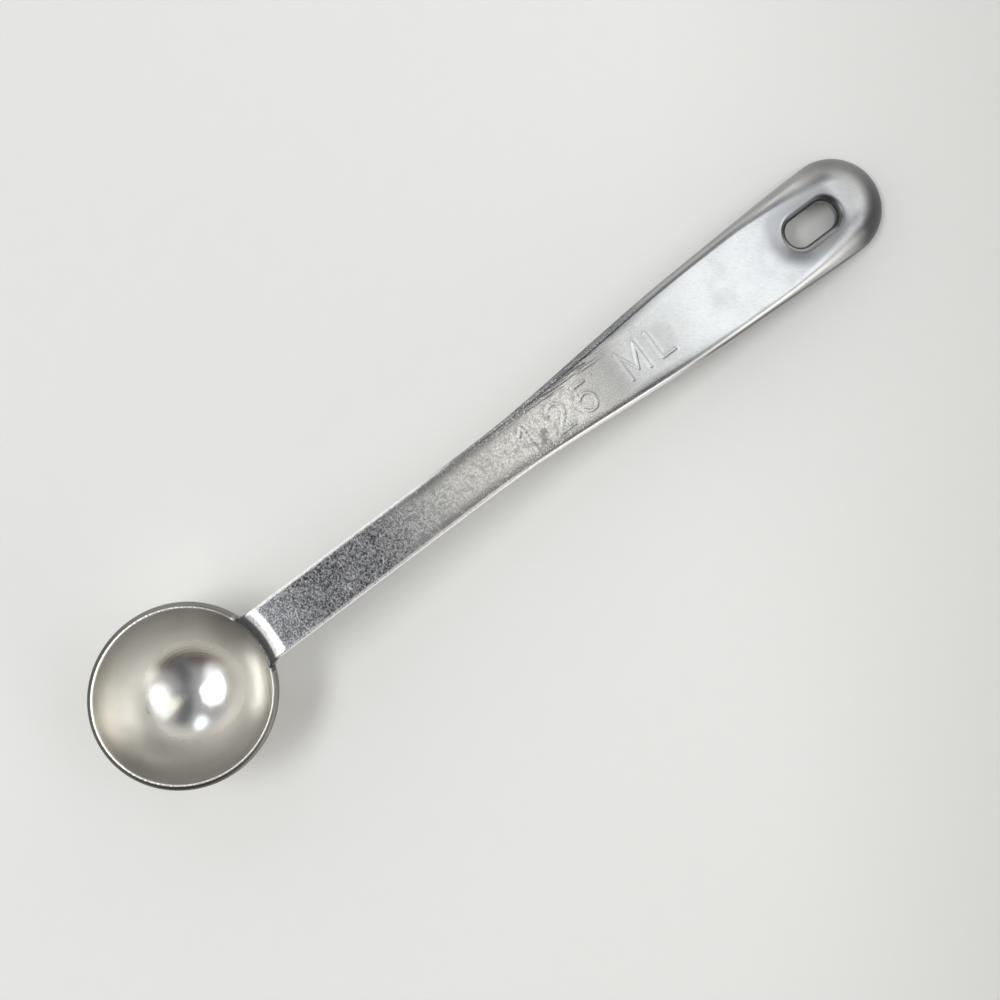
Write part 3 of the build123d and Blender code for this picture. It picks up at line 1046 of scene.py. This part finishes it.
def stage_card(name, outline, height, material):
    """A flat card over the spoon that only its reflections show."""
    mesh = bpy.data.meshes.new(name)
    mesh.from_pydata([(x * MM, y * MM, height) for x, y in outline], [], [tuple(range(len(outline)))])
    card = bpy.data.objects.new(name, mesh)
    card.data.materials.append(material)
    bpy.context.scene.collection.objects.link(card)
    card.visible_camera = False


def lit_paint():
    """A glowing screen: dark at its start, two lit stretches with a dimmer one between them."""
    strength = {"Strength": SCREEN_STRENGTH}
    material, tree, glow = new_surface("lit_paint", strength, "ShaderNodeEmission")
    along = node(tree, "ShaderNodeSeparateXYZ", {"Vector": object_coordinates(tree)}).outputs["X"]
    limits = {"Value": along, "From Min": SCREEN_START * MM, "From Max": SCREEN_END * MM}
    share = node(tree, "ShaderNodeMapRange", limits).outputs[0]
    tree.links.new(colour_ramp(tree, share, SCREEN_STOPS), glow.inputs["Color"])
    return material


def heading(azimuth, from_zenith):
    """The direction at an angle round from +X and an angle down from straight up, in degrees."""
    round_angle, down = math.radians(azimuth), math.radians(from_zenith)
    return (math.sin(down) * math.cos(round_angle), math.sin(down) * math.sin(round_angle), math.cos(down))


def sky_patch(tree, toward, azimuth, from_zenith, inner, outer, strength):
    """A soft round patch of the sky: full within the inner angle, nothing beyond the outer one."""
    both = {0: toward, 1: heading(azimuth, from_zenith)}
    aimed = node(tree, "ShaderNodeVectorMath", both, operation="DOT_PRODUCT")
    limits = {"From Min": math.cos(math.radians(outer)), "From Max": math.cos(math.radians(inner))}
    inputs = {"Value": aimed.outputs["Value"], "To Max": strength, **limits}
    return node(tree, "ShaderNodeMapRange", inputs, interpolation_type="SMOOTHSTEP").outputs[0]


# The sky's colours from the horizon, at 0, to straight up, at 1, and the colour of its dark side
SKY_STOPS = (
    (0, (1.12, 1.07, 0.98)),
    (0.4, (1.15, 1.12, 1.05)),
    (0.68, (0.46, 0.46, 0.46)),
    (1, (0.36, 0.375, 0.40)),
)
SKY_DARK = (0.085, 0.062, 0.058)
# Patches of the sky: azimuth, angle from the zenith, inner and outer reach in degrees, and strength
DARK_PATCHES = ((226, 54, 15, 33, 0.92), (265, 54, 12, 26, 0.95), (197, 50, 7, 18, 0.9))
BRIGHT_PATCHES = (
    (326, 43, 8, 15, 3.0),
    (348, 43, 8, 14, 3.0),
    (188, 32, 7, 13, 2.2),
    (285, 66, 12, 28, 0.7),
)
DIM_PATCH = (338, 64, 12, 24, 0.7)


def make_world():
    """A plain soft studio: grey overhead and warm grey walls, one bright side and a dark one."""
    world = bpy.data.worlds.new("studio")
    bpy.context.scene.world = world
    world.use_nodes = True
    tree = world.node_tree
    tree.nodes.clear()
    toward = node(tree, "ShaderNodeTexCoord").outputs["Generated"]
    up = node(tree, "ShaderNodeSeparateXYZ", {"Vector": toward}).outputs["Z"]
    dark_side = largest(tree, *(sky_patch(tree, toward, *patch) for patch in DARK_PATCHES))
    walls = mixed_colours(tree, dark_side, colour_ramp(tree, up, SKY_STOPS), SKY_DARK)
    light = total(tree, 1.0, *(sky_patch(tree, toward, *patch) for patch in BRIGHT_PATCHES))
    light = math_node(tree, "SUBTRACT", light, sky_patch(tree, toward, *DIM_PATCH))
    background = node(tree, "ShaderNodeBackground", {"Color": walls, "Strength": light})
    output = node(tree, "ShaderNodeOutputWorld")
    tree.links.new(background.outputs[0], output.inputs["Surface"])


# Soft lamps: azimuth and angle from the zenith in degrees, distance and half sizes level and upright in
# metres, the brightness of the face and its colour
LAMPS = (
    ("window", 146, 26, 0.6, 0.145, 0.09, 9.2, (1.0, 1.0, 1.0)),
    ("small_lamp", 75, 43, 0.6, 0.065, 0.05, 4.0, (0.8, 0.9, 1.0)),
)


def make_lamp(name, azimuth, from_zenith, away, across, upright, brightness, colour):
    """An oval soft lamp aimed at the spoon."""
    data = bpy.data.lights.new(name, "AREA")
    data.shape = "ELLIPSE"
    data.size = 2 * across
    data.size_y = 2 * upright
    data.energy = brightness * math.pi * math.pi * across * upright
    data.color = colour
    lamp = bpy.data.objects.new(name, data)
    direction = Vector(heading(azimuth, from_zenith))
    lamp.location = direction * away
    lamp.rotation_mode = "QUATERNION"
    lamp.rotation_quaternion = direction.to_track_quat("Z", "Y")
    bpy.context.scene.collection.objects.link(lamp)


# Camera: straight down, turned so that the handle runs up to the right as in the photograph. Millimetres
# along and across from the rim's centre and up from the table, then degrees and pixels
CAMERA_ALONG = 33.8
CAMERA_ACROSS = -3.14
CAMERA_HEIGHT = 128.9
CAMERA_TURN = -37.06
FOCAL_PIXELS = 1314.9
PICTURE_PIXELS = 1000
# The sensor's width in millimetres, and the nearest distance shown in metres
SENSOR_WIDTH = 36
CLIP_START = 0.005


def make_camera():
    data = bpy.data.cameras.new("camera")
    data.sensor_width = SENSOR_WIDTH
    data.lens = FOCAL_PIXELS / PICTURE_PIXELS * SENSOR_WIDTH
    data.clip_start = CLIP_START
    camera = bpy.data.objects.new("camera", data)
    rim = to_row((0, 0, 0))
    camera.location = (rim[0] + CAMERA_ALONG * MM, CAMERA_ACROSS * MM, CAMERA_HEIGHT * MM)
    camera.rotation_euler = (0, 0, math.radians(CAMERA_TURN))
    bpy.context.scene.collection.objects.link(camera)
    bpy.context.scene.camera = camera
    return camera


bowl = make_bowl()
bowl.data.materials.append(bowl_steel())
handle = make_handle()
handle.data.materials.append(handle_steel())
for piece, name in ((bowl, "bowl"), (handle, "handle")):
    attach(piece, "root")
    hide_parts(name)

camera = make_camera()
make_floor()
make_world()
stage_card("dark_card", CARD_OUTLINE, camera.location.z + CARD_ABOVE_LENS * MM, dark_paint())
stage_card("lit_screen", SCREEN_OUTLINE, camera.location.z + SCREEN_ABOVE_LENS * MM, lit_paint())
for lamp in LAMPS:
    make_lamp(*lamp)

bpy.context.scene.view_settings.view_transform = "Standard"
